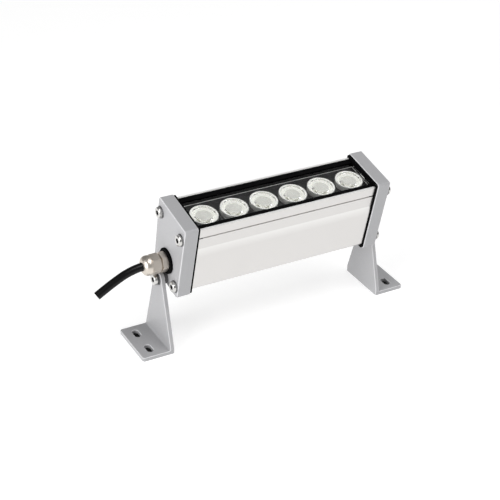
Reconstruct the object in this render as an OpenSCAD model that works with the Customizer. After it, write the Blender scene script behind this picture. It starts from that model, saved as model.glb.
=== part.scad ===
// Outdoor wall washer light: a short aluminium housing with a row of lensed LEDs behind
// glass, closed by two end caps, carried between two L-shaped floor brackets.
// The head frame has X along the lamp, Y across it and Z up from the end caps' lower edge.

/* [Lamp head] */
// Distance between neighbouring LEDs; the housing is six of them long
led_pitch = 25; // [25:0.5:32]
// Height of the end caps
cap_height = 65; // [63:1:80]
// Width of the end caps at their top edge
cap_top_width = 44; // [43.5:0.5:52]
// Width of the end caps at their bottom edge
cap_bottom_width = 40.5; // [40:0.5:43]
// Thickness of the end caps along the lamp
cap_thickness = 11; // [10:0.5:16]
// Outer wall of an end cap, behind which the wire pocket lies
cap_wall = 5; // [4:0.5:6]
// Radius of the end caps' corners
cap_corner_r = 2; // [1:0.25:3]
// How far the end caps stand above the housing's rims
top_reveal = 3; // [1.5:0.25:4]
// How far the end caps stand below the housing's floor
bottom_reveal = 3.5; // [2:0.25:4.5]
// How far the end caps stand proud of the housing's sides
side_reveal = 1.2; // [0.8:0.1:1.6]
// Thickness of the rubber end gaskets
gasket_t = 1.5; // [1:0.25:3]

/* [Housing] */
// Thickness of the housing's side walls
side_wall = 2.3; // [1.9:0.1:2.5]
// Thickness of the housing's floor
floor_t = 2; // [1.5:0.1:3]
// Thickness of the web that carries the LED board
web_t = 2.4; // [2:0.1:4]
// Radius of the housing's two lower edges
housing_corner_r = 2.5; // [1:0.25:3]
// Height of the upper side band, from the rim to the groove
groove_drop = 8.1; // [6:0.1:9]
// Width of the side groove
groove_w = 1; // [0.6:0.1:1.6]
// Depth of the side groove
groove_depth = 0.8; // [0.4:0.1:1]
// Height from the rim to the soft shoulder of the side
shoulder_drop = 18.2; // [14:0.1:22]
// Height over which the shoulder curves out
shoulder_h = 8; // [4:0.5:12]
// How far the lower side panel stands out at the shoulder
shoulder_proud = 0.5; // [0.2:0.1:0.8]

/* [Window] */
// Depth of the upper seal's top face below the rims
seal_drop = 0.6; // [0.4:0.1:1.2]
// Thickness of the upper seal's lip on the glass
seal_lip_t = 0.8; // [0.5:0.1:1.4]
// Width of the upper seal along the long sides
seal_side_w = 4.4; // [3:0.1:5]
// Thickness of the rubber around the edge of the glass
seal_skirt = 1; // [0.6:0.1:1.6]
// Thickness of the glass
glass_t = 3; // [2:0.5:4]
// Thickness of the lower seal
bed_t = 0.8; // [0.5:0.1:1.2]
// Width of the lower seal along the long sides
bed_side_w = 5.6; // [5.4:0.1:6]
// Thickness of the sheet of the lens tray
tray_t = 0.5; // [0.4:0.1:0.5]
// How far the lens holders stand above the tray's floor
tray_depth = 4.4; // [3:0.1:4.8]

/* [Lenses and LEDs] */
// Outer diameter of a lens holder
lens_d = 21.5; // [20:0.25:21.5]
// Width of a lens holder's rim
lens_rim = 1; // [0.8:0.1:1.5]
// Height of a lens holder on its board
lens_height = 12; // [11:0.5:13]
// Diameter of a lens holder's foot
lens_foot_d = 16; // [14:0.5:17]
// Diameter of the dished well in the top of a lens
lens_well_d = 11; // [8:0.5:13]
// Shift of the LED row away from the cable end
row_shift = 1; // [0:0.1:1]
// Shift of the LED row towards the front
row_front = 1; // [0:0.1:1.2]
// Thickness of the LED board
board_t = 1.6; // [1:0.1:2]
// Width of the LED board
board_w = 24; // [22:0.5:25]
// Side of a square LED package
led_side = 5; // [3:0.5:5.5]
// Radius of an LED's clear dome
led_dome_r = 2.2; // [1.5:0.1:2.4]

/* [Driver] */
// Length of the driver board
driver_len = 100; // [90:1:110]
// Width of the driver board
driver_w = 24; // [20:1:24.5]
// Height of the driver board's standoffs
standoff_h = 5; // [4:0.5:6]
// Diameter of the driver's capacitor
capacitor_d = 10; // [8:0.5:12]
// Height of the driver's capacitor
capacitor_h = 18; // [12:0.5:24]
// Diameter of one wire inside the head
wire_d = 1.4; // [1:0.1:1.6]

/* [End cap screws] */
// Diameter of a cap screw's shank
cap_screw_d = 3.4; // [3:0.1:4]
// Length of a cap screw below its head
cap_screw_len = 26; // [22:1:30]
// Diameter of a cap screw's head
cap_head_d = 8.4; // [7:0.1:9]
// Height of a cap screw's head
cap_head_h = 2.3; // [1.8:0.1:3]
// Width across flats of the cap screws' hexagon sockets
cap_socket = 3.6; // [2.5:0.1:4.2]
// Diameter of a cap screw's washer
cap_washer_d = 9.6; // [9:0.1:9.8]
// Thickness of a cap screw's washer
cap_washer_t = 0.8; // [0.5:0.1:1.2]
// Room between the cap screws' heads and the arms that swing past them
cap_head_room = 0.2; // [0.15:0.05:1]
// Distance of the cap screws from the sides of the cap
cap_screw_inset = 4.9; // [4.9:0.1:5.3]
// Height of the lower cap screws above the cap's lower edge
cap_screw_low = 8.5; // [8.3:0.1:9]

/* [Cable gland] */
// Height of the gland above the cap's lower edge
gland_z = 21; // [20.5:0.5:24]
// Diameter of the gland's thread
gland_thread_d = 12; // [11:0.5:12.5]
// Width across flats of the gland's hexagons
gland_hex = 14; // [13.5:0.5:15]
// Diameter of the rubber ring under the gland
gland_ring_d = 20; // [18:0.5:21]
// Thickness of the rubber ring under the gland
gland_ring_t = 1.8; // [1.5:0.1:2.2]
// Length of the gland body's hexagon
gland_body_h = 4.8; // [4:0.1:6]
// Gap between the gland's two hexagons
gland_neck_h = 0.8; // [0.6:0.1:1.5]
// Length of the dome nut's hexagon
gland_nut_h = 7; // [6.5:0.5:9]
// Length of the dome nut's rounded end
gland_dome_h = 6.3; // [5:0.1:8]
// Diameter of the dome nut's rounded end
gland_dome_d = 15.4; // [14:0.1:15.6]
// Thickness of the gland's lock nut
lock_nut_t = 3.3; // [2.5:0.1:4]

/* [Cable] */
// Outer diameter of the cable
cable_d = 6.4; // [5:0.1:6.6]

/* [Brackets] */
// Thickness of the bracket plates
plate_t = 3.3; // [2.5:0.1:4]
// Depth of a foot, and width of an arm at its base
foot_depth = 43.5; // [40:0.5:60]
// Reach of a foot beyond the outer face of its arm
foot_reach = 22.5; // [20:0.5:40]
// Radius of the foot's outer corners
foot_corner_r = 2; // [0.5:0.25:4]
// Height of the pivots above the mounting surface
pivot_h = 55.5; // [50:0.5:90]
// Height of the pivots above the cap's lower edge
pivot_z = 5.2; // [5.1:0.1:5.4]
// Radius of an arm's rounded top
arm_top_r = 6.5; // [5.5:0.1:6.8]
// Height of the straight base of an arm
arm_base_h = 5.6; // [4:0.1:12]
// Radius of the fillet between arm and foot
bend_r = 1.2; // [0.8:0.1:2]
// Width of the slots in the feet
slot_w = 5; // [4:0.25:6]
// Length of the slots, end to end
slot_len = 10; // [8:0.5:12]
// Distance between the two slots of a foot
slot_spacing = 22; // [20:0.5:26]
// Distance of the slots from the outer face of the arm
slot_setback = 13; // [11:0.5:16]

/* [Pivots] */
// Diameter of the pivot screws
pivot_d = 5; // [4:0.25:6]
// Diameter of the spacers between the caps and the arms
spacer_d = 10; // [9:0.1:10.2]
// Depth of the pivot screws in the caps
pivot_depth = 8; // [6:0.5:9]
// Diameter of the pivot screws' heads
pivot_head_d = 9.2; // [8:0.1:9.8]
// Height of the pivot screws' heads
pivot_head_h = 2.3; // [1.8:0.1:3]
// Width across flats of the pivot screws' hexagon sockets
pivot_socket = 3.8; // [2.5:0.1:4.5]
// Diameter of the flat pivot washers
pivot_washer_d = 10; // [9:0.1:11]
// Thickness of the flat pivot washers
pivot_washer_t = 0.8; // [0.5:0.1:1.5]
// Diameter of the split lock washers
lock_washer_d = 8.4; // [7.5:0.1:9]
// Thickness of the split lock washers
lock_washer_t = 0.9; // [0.6:0.1:1.5]
// Lean of the head's top towards the front, in degrees
head_tilt = 11; // [0:0.5:30]

/* [Hidden] */

$fn = 64;
led_count = 6;

// Clearances and the overrun of every cut
fit_gap = 0.05;
turn_gap = 0.08;
lay_gap = 0.1;
cut = 1;

// Colours, as the photograph shows them
cast_paint = "#A9A9AC";
bright_aluminium = "#DFDEDC";
black_rubber = "#18181A";
tray_grey = "#3A3A3A";
bright_steel = "#C9C9C6";
nickel = "#B8B1A6";
holder_white = "#E9E8E2";
board_white = "#E6E6E0";
driver_green = "#2F6B45";
part_dark = "#2A2A2C";
led_yellow = "#E8D27A";
spacer_grey = "#5B5A5C";
cable_black = "#161616";
copper_red = "#B03A30";

// Ends of the housing and of the caps
half_len = led_count * led_pitch / 2;
cap_in = half_len + gasket_t;
cap_out = cap_in + cap_thickness;

// Half width of the caps and of the housing at a height
function cap_half(z) = (cap_bottom_width + (cap_top_width - cap_bottom_width) * z / cap_height) / 2;
function side_half(z) = cap_half(z) - side_reveal;

// Heights inside the head, from the rim down to the web
rim_z = cap_height - top_reveal;
seal_top = rim_z - seal_drop;
glass_top = seal_top - seal_lip_t;
glass_bottom = glass_top - glass_t;
ledge_z = glass_bottom - bed_t;
glass_room = 0.3;
holder_top = glass_bottom - glass_room;
board_top = holder_top - lens_height;
tray_floor = holder_top - tray_depth;
tray_rim_drop = 0.2;
web_top = board_top - board_t;
web_bottom = web_top - web_t;
floor_z = bottom_reveal;
floor_top = floor_z + floor_t;
recess_half = side_half(rim_z) - side_wall;

// Screw channels of the housing
channel_wall = 2;
channel_r = cap_screw_d / 2 + fit_gap;
channel_outer_r = channel_r + channel_wall;
channel_cover = 0.8;
cap_screw_high = ledge_z - channel_cover - channel_r;
cap_hole_gap = 0.4;
cap_screw_places = [for (z = [cap_screw_low, cap_screw_high]) for (s = [-1, 1])
    [s * (cap_half(z) - cap_screw_inset), z]];

// Upper chamber between the screw channels, and the lens tray in it
chamber_half = cap_half(cap_screw_high) - cap_screw_inset - channel_outer_r;
shelf_z = cap_screw_high - channel_outer_r;
tray_half = chamber_half - lay_gap;

// Wire pocket of the end caps and window of the gaskets
pocket_half = 12.4;
pocket_room = 0.5;
lock_nut_step = 1;
lock_nut_r = (gland_hex + lock_nut_step) / sqrt(3);
pocket_low = gland_z - lock_nut_r - pocket_room;
pocket_high = gland_z + lock_nut_r + pocket_room;
pocket_r = 2;
gasket_inset = 0.5;
gasket_lug_len = 3.5;
gasket_foot_len = 2;
gasket_foot_t = 1.2;

// Places along the row
function led_x(i) = (i - (led_count - 1) / 2) * led_pitch + row_shift;
row_y = -row_front;
wire_bay = 4.6;
board_end_gap = 1;
board_x0 = wire_bay - half_len;
board_x1 = half_len - board_end_gap;

// Lens holder and lens, measured from the board
holder_throat_r = 5.2;
holder_throat_h = 1.2;
holder_lip_h = 1.8;
lens_gap = 0.12;
lens_sink = 0.4;
lens_foot_h = 1.6;
lens_cup_r = 3.2;
lens_cup_h = 4;
lens_well_depth = 2;
led_base_h = 1;

// Small screws on the boards
small_screw_d = 2.6;
small_head_d = 5.4;
small_head_h = 1.8;
small_screw_len = 5;
board_screw_y = 8.5;

// Driver parts
driver_x = -54;
driver_z = floor_top + standoff_h;
driver_t = 1.6;
driver_top = driver_z + driver_t;
standoff_d = 6;
standoff_y = 8.8;
standoff_edge = 6;
capacitor_x = 44;
capacitor_y = 3;
transformer_size = [18, 16, 15];
transformer_gap = 7.3;
transformer_x = driver_len - standoff_edge - small_head_d / 2 - transformer_gap - transformer_size.x;
rectifier_size = [9, 7, 3];
rectifier_x = 20;
rectifier_y = -7;
switch_size = [10, 4.5, 9];
switch_x = 27;
switch_y = 7;
block_size = [10, 11, 12];
block_x = 2;
lead_y = 4;
lead_z = 17;
lead_bend_r = 1.6;
lead_in = 2.2;
lead_end_gap = 1.2;
core_y = 1.6;
core_d = 1.8;
cable_inner_in = 1;

// Gland, measured outwards from the cap's outer face
gland_hex_r = gland_hex / sqrt(3);
gland_step = 1;
gland_thread_r = gland_thread_d / 2;
gland_body_end = gland_ring_t + gland_body_h;
gland_nut_start = gland_body_end + gland_neck_h;
gland_nut_end = gland_nut_start + gland_nut_h;
gland_tip = gland_nut_end + gland_dome_h;
gland_dome_r = gland_dome_d / 2;
gland_dome_edge = 4.2;
gland_spigot_end = gland_nut_end - gland_step;
gland_seal_wall = 1.3;
gland_seal_r = cable_d / 2 + fit_gap + gland_seal_wall;
gland_seal_start = gland_nut_start + gland_step;
gland_seal_end = gland_nut_end + 2 * gland_step;
cable_hole_r = cable_d / 2 + 2 * lay_gap;

// Bracket places
spacer_len = cap_washer_t + cap_head_h + cap_head_room - fit_gap;
arm_in = cap_out + spacer_len + fit_gap;
arm_out = arm_in + plate_t;
foot_out = arm_out + foot_reach;
slot_x = arm_out + slot_setback;
screw_edge_r = 0.7;
split_gap = 0.9;

// The stand's middle line lies where the whole light's outline is centred on the origin
cap_corner = [cap_half(cap_height) - cap_corner_r, cap_height - cap_corner_r];
front_reach = cap_corner.x * cos(head_tilt) + (cap_corner.y - pivot_z) * sin(head_tilt) + cap_corner_r;
stand_y = (front_reach - foot_depth / 2) / 2;

// Cable route from the gland's mouth, in world directions: out along -X and down
cable_route = [[0, 0, 0], [-2.4, 0, -0.2], [-4.8, 0, -0.6], [-7.2, 0, -1.1], [-9.6, 0, -1.7],
    [-12, 0, -2.5], [-14.4, 0, -3.4], [-16.8, 0, -4.5], [-19.2, 0, -5.7], [-21.6, 0, -6.9],
    [-24, 0, -8.2], [-26.4, 0, -9.5], [-28.8, 0, -10.9], [-31.2, 0, -12.3], [-33.6, 0, -13.7],
    [-36, 0, -15.2]];
cable_sides = 12;
cable_exit = [-cap_out - gland_tip,
    stand_y - (gland_z - pivot_z) * sin(head_tilt),
    pivot_h + (gland_z - pivot_z) * cos(head_tilt)];

// Helpers for outlines with true round corners
function unit(v) = v / norm(v);
function inward(a, b) = let (d = unit(b - a)) [-d.y, d.x];
function before(p, i) = p[(i + len(p) - 1) % len(p)];
function after(p, i) = p[(i + 1) % len(p)];
function corner_centre(p, i, r) =
    let (n0 = inward(before(p, i), p[i]), n1 = inward(p[i], after(p, i)))
    p[i] + r * (n0 + n1) / (1 + n0 * n1);
function corner_tangents(p, i, r) =
    let (c = corner_centre(p, i, r))
    [c - r * inward(before(p, i), p[i]), c - r * inward(p[i], after(p, i))];

module rounded(p, r) {
    polygon([for (i = [0:len(p) - 1]) each corner_tangents(p, i, r)]);
    for (i = [0:len(p) - 1]) translate(corner_centre(p, i, r)) circle(r);
}

function box_points(x0, x1, y0, y1) = [[x0, y0], [x1, y0], [x1, y1], [x0, y1]];
function taper_points(z0, z1, inset) = [[inset - cap_half(z0), z0], [cap_half(z0) - inset, z0],
    [cap_half(z1) - inset, z1], [inset - cap_half(z1), z1]];

// Outlines drawn in Y and Z, pushed along X from x0 to x1
module along_x(x0, x1) {
    translate([x0, 0, 0]) rotate([90, 0, 90]) linear_extrude(x1 - x0) children();
}

module bar_x(x0, x1, r) {
    translate([x0, 0, 0]) rotate([0, 90, 0]) cylinder(h = x1 - x0, r = r);
}

module tube_x(x0, x1, r, bore) {
    difference() {
        bar_x(x0, x1, r);
        bar_x(x0 - cut, x1 + cut, bore);
    }
}

module block(lo, hi) {
    translate(lo) cube(hi - lo);
}

// The head leans about its pivots on the stand
module on_head() {
    translate([0, stand_y, pivot_h]) rotate([head_tilt, 0, 0]) translate([0, 0, -pivot_z]) children();
}

module right_side(is_right) {
    mirror([is_right ? 1 : 0, 0, 0]) children();
}

module at_cap_screws() {
    for (p = cap_screw_places) translate([0, p.x, p.y]) children();
}

// Gland pieces point outwards along their own Z from the left cap's face
module at_gland() {
    on_head() translate([-cap_out, 0, gland_z]) rotate([0, -90, 0]) children();
}

module ring(z0, z1, r, bore) {
    translate([0, 0, z0]) difference() {
        cylinder(h = z1 - z0, r = r);
        translate([0, 0, -cut]) cylinder(h = z1 - z0 + 2 * cut, r = bore);
    }
}

// Brackets: a tapering arm with a round top, and a slotted foot turned outwards
function arm_tangent(s) =
    let (d = [foot_depth / 2, arm_base_h - pivot_h], a = atan2(d.y, d.x) + acos(arm_top_r / norm(d)))
    [s * arm_top_r * cos(a), pivot_h + arm_top_r * sin(a)];

module arm_outline() {
    polygon([[-foot_depth / 2, 0], [foot_depth / 2, 0], [foot_depth / 2, arm_base_h],
        arm_tangent(1), arm_tangent(-1), [-foot_depth / 2, arm_base_h]]);
    translate([0, pivot_h]) circle(arm_top_r);
}

module slot_outline() {
    reach = (slot_len - slot_w) / 2;
    translate([-slot_w / 2, -reach]) square([slot_w, 2 * reach]);
    for (s = [-1, 1]) translate([0, s * reach]) circle(slot_w / 2);
}

module foot_outline() {
    difference() {
        union() {
            rounded(box_points(arm_in, foot_out, -foot_depth / 2, foot_depth / 2), foot_corner_r);
            translate([arm_in, -foot_depth / 2]) square([plate_t, foot_depth]);
        }
        for (s = [-1, 1]) translate([slot_x, s * slot_spacing / 2]) slot_outline();
    }
}

module bend_fillet() {
    translate([0, foot_depth / 2, 0]) rotate([90, 0, 0]) linear_extrude(foot_depth)
        difference() {
            translate([arm_out, plate_t]) square(bend_r);
            translate([arm_out + bend_r, plate_t + bend_r]) circle(bend_r);
        }
}

module bracket(is_right) {
    color(cast_paint) translate([0, stand_y, 0]) right_side(!is_right) difference() {
        union() {
            along_x(arm_in, arm_out) arm_outline();
            linear_extrude(plate_t) foot_outline();
            bend_fillet();
        }
        translate([0, 0, pivot_h]) bar_x(arm_in - cut, arm_out + cut, pivot_d / 2 + turn_gap);
    }
}

// Housing: one extrusion with a glass seat, a web for the LED board and four screw channels
function shoulder_points(s) =
    let (steps = 6, z0 = rim_z - shoulder_drop)
    [for (i = [0:steps]) let (f = i / steps, z = z0 - shoulder_h * f)
        [s * (side_half(z) - shoulder_proud * (1 - sin(90 * f))), z]];

function side_points(s) = concat(
    [[s * (side_half(rim_z) - shoulder_proud), rim_z]], shoulder_points(s));

module housing_outline() {
    low = rim_z - shoulder_drop - shoulder_h;
    right = side_points(1);
    left = side_points(-1);
    polygon(concat([for (i = [len(right) - 1:-1:0]) right[i]], left));
    rounded(taper_points(floor_z, low, side_reveal), housing_corner_r);
    translate([0, low]) polygon(box_points(-side_half(low), side_half(low), -housing_corner_r, 0));
}

module groove_outline(inset) {
    for (s = [-1, 1])
        translate([s * (side_half(rim_z - groove_drop) - shoulder_proud),
            rim_z - groove_drop - groove_w / 2])
            polygon(box_points(-groove_depth + inset, groove_depth - inset, inset, groove_w - inset));
}

module chamber_outline() {
    rounded(box_points(-recess_half, recess_half, ledge_z, rim_z + cut), lay_gap);
    polygon(box_points(-chamber_half, chamber_half, web_top, ledge_z + cut));
    polygon([[-side_half(web_top) + side_wall, web_top], [side_half(web_top) - side_wall, web_top],
        [side_half(web_top) - side_wall, shelf_z], [-side_half(web_top) + side_wall, shelf_z]]);
    difference() {
        rounded(taper_points(floor_top, web_bottom, side_reveal + side_wall), lay_gap);
        for (s = [-1, 1]) translate([s * (cap_half(cap_screw_low) - cap_screw_inset), cap_screw_low])
            circle(channel_outer_r);
    }
}

module housing() {
    color(bright_aluminium) on_head() difference() {
        along_x(-half_len, half_len) difference() {
            housing_outline();
            chamber_outline();
            groove_outline(0);
        }
        at_cap_screws() bar_x(-half_len - cut, half_len + cut, channel_r);
        block([-half_len - cut, -2 * lead_y, web_bottom - cut],
            [wire_bay - half_len, 2 * lead_y, web_top + cut]);
        at_board_screws() translate([0, 0, web_bottom - cut])
            cylinder(h = web_t + 2 * cut, r = small_screw_d / 2 + fit_gap);
        at_standoffs() translate([0, 0, floor_z - cut])
            cylinder(h = floor_t + 2 * cut, r = small_screw_d / 2 + fit_gap);
    }
}

// End caps: cast plates with a wire pocket behind the outer wall
module pocket_outline() {
    rounded(box_points(-pocket_half, pocket_half, pocket_low, pocket_high), pocket_r);
}

module end_cap(is_right) {
    color(cast_paint) on_head() right_side(is_right) difference() {
        along_x(-cap_out, -cap_in) rounded(taper_points(0, cap_height, 0), cap_corner_r);
        along_x(-cap_out + cap_wall, -cap_in + cut) pocket_outline();
        at_cap_screws() bar_x(-cap_out - cut, -cap_in + cut, (cap_screw_d + cap_hole_gap) / 2);
        translate([0, 0, pivot_z]) bar_x(-cap_out - cut, -cap_out + pivot_depth, pivot_d / 2 + fit_gap);
        if (!is_right) translate([0, 0, gland_z])
            bar_x(-cap_out - cut, -cap_in + cut, gland_thread_r + fit_gap);
    }
}

// Gaskets: a sheet under each cap, with lugs in the side grooves and under the floor
module end_gasket(is_right) {
    color(black_rubber) on_head() right_side(is_right) {
        difference() {
            along_x(-cap_in, -half_len) rounded(taper_points(gasket_inset, cap_height - gasket_inset,
                gasket_inset), cap_corner_r);
            along_x(-cap_in - cut, -half_len + cut) pocket_outline();
            at_cap_screws() bar_x(-cap_in - cut, -half_len + cut, (cap_screw_d + cap_hole_gap) / 2);
        }
        along_x(-half_len, -half_len + gasket_lug_len) intersection() {
            groove_outline(fit_gap);
            polygon(taper_points(0, cap_height, side_reveal + shoulder_proud));
        }
        foot_y = cap_half(0) - side_reveal - housing_corner_r - gasket_foot_t;
        for (s = [-1, 1]) translate([-half_len, s * foot_y, floor_z])
            block([0, -gasket_foot_t, -gasket_foot_t], [gasket_foot_len, gasket_foot_t, 0]);
    }
}

// A disc with one rounded edge, its flat face down
module rounded_disc(r, h, edge) {
    rotate_extrude() {
        square([r, h - edge]);
        square([r - edge, h]);
        translate([r - edge, h - edge]) intersection() {
            circle(edge);
            square(edge);
        }
    }
}

// Screws with low round heads and hexagon sockets, along X, heads to -X
module socket_screw_x(face_x, head_d, head_h, socket, shank_d, len) {
    bar_x(face_x, face_x + len, shank_d / 2);
    translate([face_x, 0, 0]) rotate([0, -90, 0]) difference() {
        rounded_disc(head_d / 2, head_h, screw_edge_r);
        translate([0, 0, screw_edge_r]) cylinder(h = head_h, r = socket / sqrt(3), $fn = 6);
    }
}

module cap_screws(is_right) {
    color(bright_steel) on_head() right_side(is_right) at_cap_screws() socket_screw_x(
        -cap_out - cap_washer_t, cap_head_d, cap_head_h, cap_socket, cap_screw_d, cap_screw_len);
}

module cap_washers(is_right) {
    color(bright_steel) on_head() right_side(is_right) at_cap_screws()
        tube_x(-cap_out - cap_washer_t, -cap_out, cap_washer_d / 2, cap_screw_d / 2 + fit_gap);
}

// Window: glass held along both sides by rubber strips, its ends against the gaskets
glass_half = recess_half - lay_gap - seal_skirt;
glass_len = half_len - lay_gap;

module glass_cover() {
    color("lightcyan", 0.35) on_head()
        block([-glass_len, -glass_half, glass_bottom], [glass_len, glass_half, glass_top]);
}

module glass_seals() {
    outer_half = recess_half - lay_gap;
    color(black_rubber) on_head() for (s = [0, 1]) mirror([0, s, 0]) {
        block([-glass_len, glass_half, glass_bottom], [glass_len, outer_half, seal_top]);
        block([-glass_len, recess_half - seal_side_w, glass_top], [glass_len, outer_half, seal_top]);
    }
}

module glass_beds() {
    color(black_rubber) on_head() for (s = [0, 1]) mirror([0, s, 0])
        block([-glass_len, recess_half - bed_side_w, ledge_z],
            [glass_len, recess_half - lay_gap, glass_bottom]);
}

// Lens tray: a dark sheet around the lens holders, its edges turned up to the window
module lens_tray() {
    len = half_len - lay_gap;
    rim = ledge_z - tray_rim_drop;
    color(tray_grey) on_head() {
        difference() {
            block([-len, -tray_half, tray_floor - tray_t], [len, tray_half, tray_floor]);
            for (i = [0:led_count - 1]) translate([led_x(i), row_y, tray_floor - tray_t - cut])
                cylinder(h = tray_t + 2 * cut, r = lens_d / 2 + lay_gap);
        }
        for (s = [0, 1]) mirror([0, s, 0])
            block([-len, tray_half - tray_t, tray_floor - tray_t], [len, tray_half, rim]);
        for (s = [0, 1]) mirror([s, 0, 0])
            block([len - tray_t, -tray_half, tray_floor - tray_t], [len, tray_half, rim]);
    }
}

module at_led(i) {
    on_head() translate([led_x(i), row_y, board_top]) children();
}

module lens_holder(i) {
    rim_in = lens_d / 2 - lens_rim;
    color(holder_white) at_led(i) rotate_extrude() polygon([[holder_throat_r, 0], [lens_foot_d / 2, 0],
        [lens_d / 2, lens_height - tray_depth - holder_lip_h], [lens_d / 2, lens_height],
        [rim_in, lens_height], [rim_in, lens_height - holder_lip_h], [holder_throat_r, holder_throat_h]]);
}

module lens(i) {
    rim_r = lens_d / 2 - lens_rim - lens_gap;
    top = lens_height - lens_sink;
    foot_r = holder_throat_r - lens_gap;
    color("white", 0.6) at_led(i) difference() {
        rotate_extrude() polygon([[0, lens_foot_h], [foot_r, lens_foot_h],
            [rim_r, lens_height - holder_lip_h + lens_gap], [rim_r, top], [0, top]]);
        translate([0, 0, lens_foot_h - cut]) cylinder(h = lens_cup_h + cut, r = lens_cup_r);
        translate([0, 0, top - lens_well_depth]) cylinder(h = lens_well_depth + cut, r = lens_well_d / 2);
    }
}

module led(i) {
    color(led_yellow) at_led(i) {
        translate([-led_side / 2, -led_side / 2, 0]) cube([led_side, led_side, led_base_h]);
        translate([0, 0, led_base_h]) difference() {
            sphere(led_dome_r);
            translate([-led_side, -led_side, -led_side]) cube([2 * led_side, 2 * led_side, led_side]);
        }
    }
}

// LED board on the web, held by small screws between the lenses
module at_board_screws() {
    for (i = [0, led_count - 2]) for (s = [-1, 1])
        translate([(led_x(i) + led_x(i + 1)) / 2, row_y + s * board_screw_y, 0]) children();
}

module led_board() {
    color(board_white) on_head() difference() {
        block([board_x0, -board_w / 2, web_top], [board_x1, board_w / 2, board_top]);
        at_board_screws() translate([0, 0, web_top - cut])
            cylinder(h = board_t + 2 * cut, r = small_screw_d / 2 + fit_gap);
    }
}

module small_screw(z) {
    translate([0, 0, z]) cylinder(h = small_head_h, r = small_head_d / 2);
    translate([0, 0, z - small_screw_len]) cylinder(h = small_screw_len, r = small_screw_d / 2);
}

module board_screws() {
    color(bright_steel) on_head() at_board_screws() small_screw(board_top);
}

// Driver in the lower chamber, on standoffs from the floor
module at_standoffs() {
    for (x = [standoff_edge, driver_len - standoff_edge]) for (s = [-1, 1])
        translate([driver_x + x, s * standoff_y, 0]) children();
}

module driver_board() {
    color(driver_green) on_head() difference() {
        block([driver_x, -driver_w / 2, driver_z], [driver_x + driver_len, driver_w / 2, driver_top]);
        at_standoffs() translate([0, 0, driver_z - cut])
            cylinder(h = driver_t + 2 * cut, r = small_screw_d / 2 + fit_gap);
    }
}

module driver_standoffs() {
    color(bright_steel) on_head() at_standoffs()
        ring(floor_top, driver_z, standoff_d / 2, small_screw_d / 2 + fit_gap);
}

module driver_screws() {
    color(bright_steel) on_head() at_standoffs() small_screw(driver_top);
}

module driver_capacitor() {
    color(part_dark) on_head() translate([driver_x + capacitor_x, capacitor_y, driver_top])
        cylinder(h = capacitor_h, r = capacitor_d / 2);
}

module on_driver(x, y, size) {
    on_head() translate([driver_x + x, y - size.y / 2, driver_top]) cube(size);
}

module driver_transformer() {
    color(led_yellow) on_driver(transformer_x, 0, transformer_size);
}

module driver_chips() {
    color(part_dark) {
        on_driver(rectifier_x, rectifier_y, rectifier_size);
        on_driver(switch_x, switch_y, switch_size);
    }
}

module terminal_block() {
    color(driver_green) on_driver(block_x, 0, block_size);
}

// Wires: from the terminal block up through the web's notch to the LED board
module wire_bend(a) {
    rotate([90, 0, 0]) rotate_extrude(angle = 90, start = a) translate([lead_bend_r, 0]) circle(wire_d / 2);
}

module led_leads() {
    x = lead_in - half_len;
    high = board_top + wire_d / 2;
    color(copper_red) on_head() for (s = [-1, 1]) translate([0, s * lead_y, 0]) {
        translate([0, 0, lead_z]) bar_x(x + lead_bend_r, driver_x + block_x, wire_d / 2);
        translate([x + lead_bend_r, 0, lead_z + lead_bend_r]) wire_bend(180);
        translate([x, 0, lead_z + lead_bend_r])
            cylinder(h = high - lead_z - 2 * lead_bend_r, r = wire_d / 2);
        translate([x + lead_bend_r, 0, high - lead_bend_r]) wire_bend(90);
        translate([0, 0, high]) bar_x(x + lead_bend_r, led_x(0) - lens_foot_d / 2 - lead_end_gap, wire_d / 2);
    }
}

module cable_cores() {
    color(copper_red) on_head() for (s = [-1, 1]) translate([0, s * core_y, gland_z])
        bar_x(-half_len + cable_inner_in, driver_x + block_x, core_d / 2);
}

module cable_inner() {
    color(cable_black) on_head() translate([0, 0, gland_z])
        bar_x(-cap_out - gland_tip, -half_len + cable_inner_in, cable_d / 2);
}

// Gland: rubber ring, body, lock nut in the cap's pocket, seal and dome nut
module gland_ring() {
    color(black_rubber) at_gland() ring(0, gland_ring_t, gland_ring_d / 2, gland_thread_r + fit_gap);
}

module hexagon(z0, z1, r) {
    translate([0, 0, z0]) cylinder(h = z1 - z0, r = r, $fn = 6);
}

module gland_body() {
    color(nickel) at_gland() difference() {
        union() {
            translate([0, 0, -cap_wall - lock_nut_t]) cylinder(h = gland_spigot_end + cap_wall + lock_nut_t,
                r = gland_thread_r);
            hexagon(gland_ring_t, gland_body_end, gland_hex_r);
        }
        translate([0, 0, -cap_thickness])
            cylinder(h = gland_tip + cap_thickness, r = cable_d / 2 + fit_gap);
        translate([0, 0, gland_seal_start]) cylinder(h = gland_tip, r = gland_seal_r + fit_gap);
    }
}

module gland_lock_nut() {
    color(nickel) at_gland() difference() {
        hexagon(-cap_wall - lock_nut_t, -cap_wall, lock_nut_r);
        translate([0, 0, -cap_thickness]) cylinder(h = cap_thickness, r = gland_thread_r + fit_gap);
    }
}

module gland_seal() {
    color(black_rubber) at_gland()
        ring(gland_seal_start, gland_seal_end, gland_seal_r, cable_d / 2 + fit_gap);
}

module gland_nut() {
    color(nickel) at_gland() difference() {
        union() {
            hexagon(gland_nut_start, gland_nut_end, gland_hex_r);
            translate([0, 0, gland_nut_end]) rounded_disc(gland_dome_r, gland_dome_h, gland_dome_edge);
        }
        translate([0, 0, gland_nut_start - cut])
            cylinder(h = gland_nut_h + cut, r = gland_thread_r + fit_gap);
        translate([0, 0, gland_nut_start]) cylinder(h = gland_seal_end - gland_nut_start + fit_gap,
            r = gland_seal_r + fit_gap);
        translate([0, 0, gland_nut_start]) cylinder(h = gland_tip, r = cable_hole_r);
    }
}

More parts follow.
